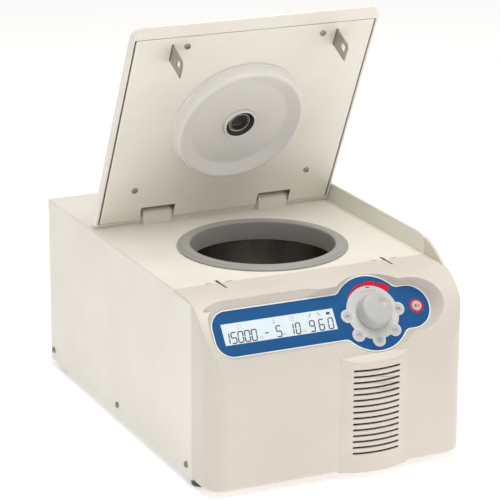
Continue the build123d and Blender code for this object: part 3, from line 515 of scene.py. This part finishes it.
def build_lip_highlight():
    """The moulded lip that stands round the control film, in white as a painted highlight."""
    loop = outline_of("control_overlay", 0.0)
    if len(loop) < 8:
        return
    area = sum(a[0] * b[1] - b[0] * a[1] for a, b in zip(loop, loop[1:] + loop[:1]))
    out = 1 if area > 0 else -1
    count = len(loop)
    lips = []
    for index, here in enumerate(loop):
        before, after = Vector(loop[index - 1]), Vector(loop[(index + 1) % count])
        along = (after - before).normalized()
        side = Vector((along.y, -along.x)) * out
        lips.append((Vector(here), side))
    build = bmesh.new()
    rows = []
    for spot, side in lips:
        row = []
        for away, height in LIP:
            row.append(build.verts.new(((spot.x + side.x * away) * MM, (spot.y + side.y * away) * MM,
                                        height * MM)))
        rows.append(row)
    for index, row in enumerate(rows):
        following = rows[(index + 1) % count]
        for step in range(len(row) - 1):
            build.faces.new((row[step], following[step], following[step + 1], row[step + 1]))
    bmesh.ops.recalc_face_normals(build, faces=build.faces)
    build.transform(FACE)
    mesh = bpy.data.meshes.new("border")
    build.to_mesh(mesh)
    build.free()
    # the lip is drawn in white ink as a painted highlight along the film's edge
    new_piece("film_lip_highlight", mesh, WHITE_INK, "cabinet", smooth_angle=60)


# ---------------------------------------------------------------- chamber and lid pieces
def build_gasket():
    low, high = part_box("bowl_gasket")
    outer = (high.x - low.x) / 2 / MM
    inner = 90.7
    flat = (DECK - low.z) / MM
    profile = [(inner, -flat), (inner + 4.3, -flat), (inner + 4.5, 0.0), (outer - 0.6, 0.0),
               (outer, 0.9), (outer - 0.3, 2.4), (outer - 2.4, 3.0), (outer - 3.4, 3.5),
               (outer - 4.4, 4.9), (outer - 6.0, 5.1), (inner + 2.6, 5.1), (inner + 0.7, 4.5), (inner, 3.0)]
    mesh = spun(rounded(profile, 0.7, 3), Matrix.Translation((CHAMBER.x, CHAMBER.y, DECK)), 160)
    new_piece("chamber_gasket", mesh, RUBBER, "cabinet", "bowl_gasket", 60)


def build_disc():
    profile = [(21.95, 0.0), (88.5, 0.0), (88.5, -2.2), (87.8, -3.0), (86.4, -3.2), (85.7, -5.0),
               (84.8, -13.6), (84.2, -15.4), (83.0, -16.6), (81.4, -17.1), (80.0, -17.0), (78.8, -16.5),
               (76.0, -14.9), (70.0, -11.6), (66.5, -9.7), (64.6, -8.9), (62.4, -8.6), (21.95, -8.6)]
    mesh = spun(rounded(profile, 0.6, 3), LID_CENTRE, 160)
    new_piece("lid_boss", mesh, WHITE, "lid", "lid_disc", 40)


def build_port():
    profile = [(15.3, 1.5), (15.9, 1.5), (15.9, 0.0), (21.7, 0.0), (21.7, -11.8), (21.3, -12.8),
               (20.7, -13.3), (20.0, -13.4), (19.4, -13.0), (19.0, -12.0), (18.9, -7.0), (15.3, -7.0)]
    mesh = spun(rounded(profile, 0.4, 3), LID_CENTRE, 96)
    new_piece("port_collar", mesh, WHITE, "lid", "port_ring", 60)
    sleeve = [(18.85, -7.1), (18.85, -11.6), (18.4, -11.9), (17.6, -9.6), (16.9, -9.4), (16.2, -8.3),
              (15.3, -8.0), (15.3, -7.1)]
    mesh = spun(rounded(sleeve, 0.2, 2), LID_CENTRE, 96)
    new_piece("port_sleeve", mesh, BLACK, "lid", None, 40)
    chrome = [(14.6, -7.4), (14.6, -8.2), (14.0, -8.8), (13.2, -8.6), (12.9, -8.0), (13.2, -7.4)]
    mesh = spun(rounded(chrome, 0.2, 3), LID_CENTRE, 96)
    new_piece("port_bezel", mesh, BRIGHT, "lid", None, 60)


# ---------------------------------------------------------------- painted shadow in the seam on the deck
def build_seam_shadow():
    dashes = []
    for side in (-1, 1):
        for x in (124.6, 97.4):
            dashes.append(bar(side * x - 4.3, SEAM_Y, side * x + 4.3, SEAM_Y, 1.5))
    place = Matrix.Translation((0, 0, DECK))
    new_piece("seam_shadow_dashes", prisms(dashes, 0.01, 0.05, place), SEAM_SHADOW, "cabinet")


build_display()
build_knob()
build_keys()
build_printing()
build_lip_highlight()
build_gasket()
build_disc()
build_port()
build_seam_shadow()


# ---------------------------------------------------------------- floor, light and camera
def build_floor():
    mesh = bpy.data.meshes.new("floor")
    build = bmesh.new()
    reach = 14.0
    bmesh.ops.create_grid(build, x_segments=8, y_segments=8, size=reach)
    build.to_mesh(mesh)
    build.free()
    floor = bpy.data.objects.new("floor", mesh)
    bpy.context.scene.collection.objects.link(floor)
    mesh.materials.append(finish("pale_floor", (0.96, 0.96, 0.96), 0.9, drift=0.004, grain=0.0,
                                 Emission_Color=(1, 1, 1, 1), Emission_Strength=0.4))


def softbox(name, at, aim, size, power, colour=(1, 1, 1)):
    data = bpy.data.lights.new(name, "AREA")
    data.shape = "RECTANGLE"
    data.size, data.size_y = size
    data.energy = power
    data.color = colour
    lamp = bpy.data.objects.new(name, data)
    bpy.context.scene.collection.objects.link(lamp)
    lamp.location = at
    lamp.rotation_euler = (Vector(aim) - Vector(at)).to_track_quat("-Z", "Y").to_euler()
    return lamp


def build_camera():
    yaw, pitch, roll = 0.43692063, 0.30238608, 0.00266337
    level = Vector((math.cos(yaw), -math.sin(yaw), 0))
    ahead = Vector((math.sin(yaw) * math.cos(pitch), math.cos(yaw) * math.cos(pitch), -math.sin(pitch)))
    upright = level.cross(ahead)
    right = math.cos(roll) * level + math.sin(roll) * upright
    above = math.cos(roll) * upright - math.sin(roll) * level
    data = bpy.data.cameras.new("camera")
    data.sensor_width = 36.0
    data.lens = 175.5
    data.clip_end = 60.0
    camera = bpy.data.objects.new("camera", data)
    bpy.context.scene.collection.objects.link(camera)
    at = right * -0.01519242 + above * 0.208121156 - ahead * 3.10762745
    at += Vector((0, CHAMBER.y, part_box("cabinet_cover")[0].z))
    camera.matrix_world = Matrix.Translation(at) @ Matrix((right, above, -ahead)).transposed().to_4x4()
    bpy.context.scene.camera = camera


def build_world():
    world = bpy.data.worlds.new("studio")
    world.use_nodes = True
    tree = world.node_tree
    back = tree.nodes["Background"]
    back.inputs["Color"].default_value = (1.0, 0.985, 0.96, 1)
    back.inputs["Strength"].default_value = 0.44
    clean = tree.nodes.new("ShaderNodeBackground")
    clean.inputs["Color"].default_value = (1, 1, 1, 1)
    path = tree.nodes.new("ShaderNodeLightPath")
    mixed = tree.nodes.new("ShaderNodeMixShader")
    link(tree, path, "Is Camera Ray", mixed, "Fac")
    tree.links.new(back.outputs["Background"], mixed.inputs[1])
    tree.links.new(clean.outputs["Background"], mixed.inputs[2])
    link(tree, mixed, "Shader", tree.nodes["World Output"], "Surface")
    bpy.context.scene.world = world


build_floor()
build_world()
build_camera()
softbox("left_softbox", (-2.7, 0.1, 1.5), (0, 0, 0.25), (1.6, 1.6), 2, (1, 0.97, 0.93))
softbox("right_softbox", (2.6, -1.2, 1.2), (0, 0, 0.2), (1.4, 1.4), 5, (1, 0.96, 0.91))
softbox("top_softbox", (0.1, -0.55, 2.5), (0, 0, 0.2), (2.0, 2.0), 44, (1, 0.99, 0.96))
bpy.context.scene.view_settings.view_transform = "Standard"
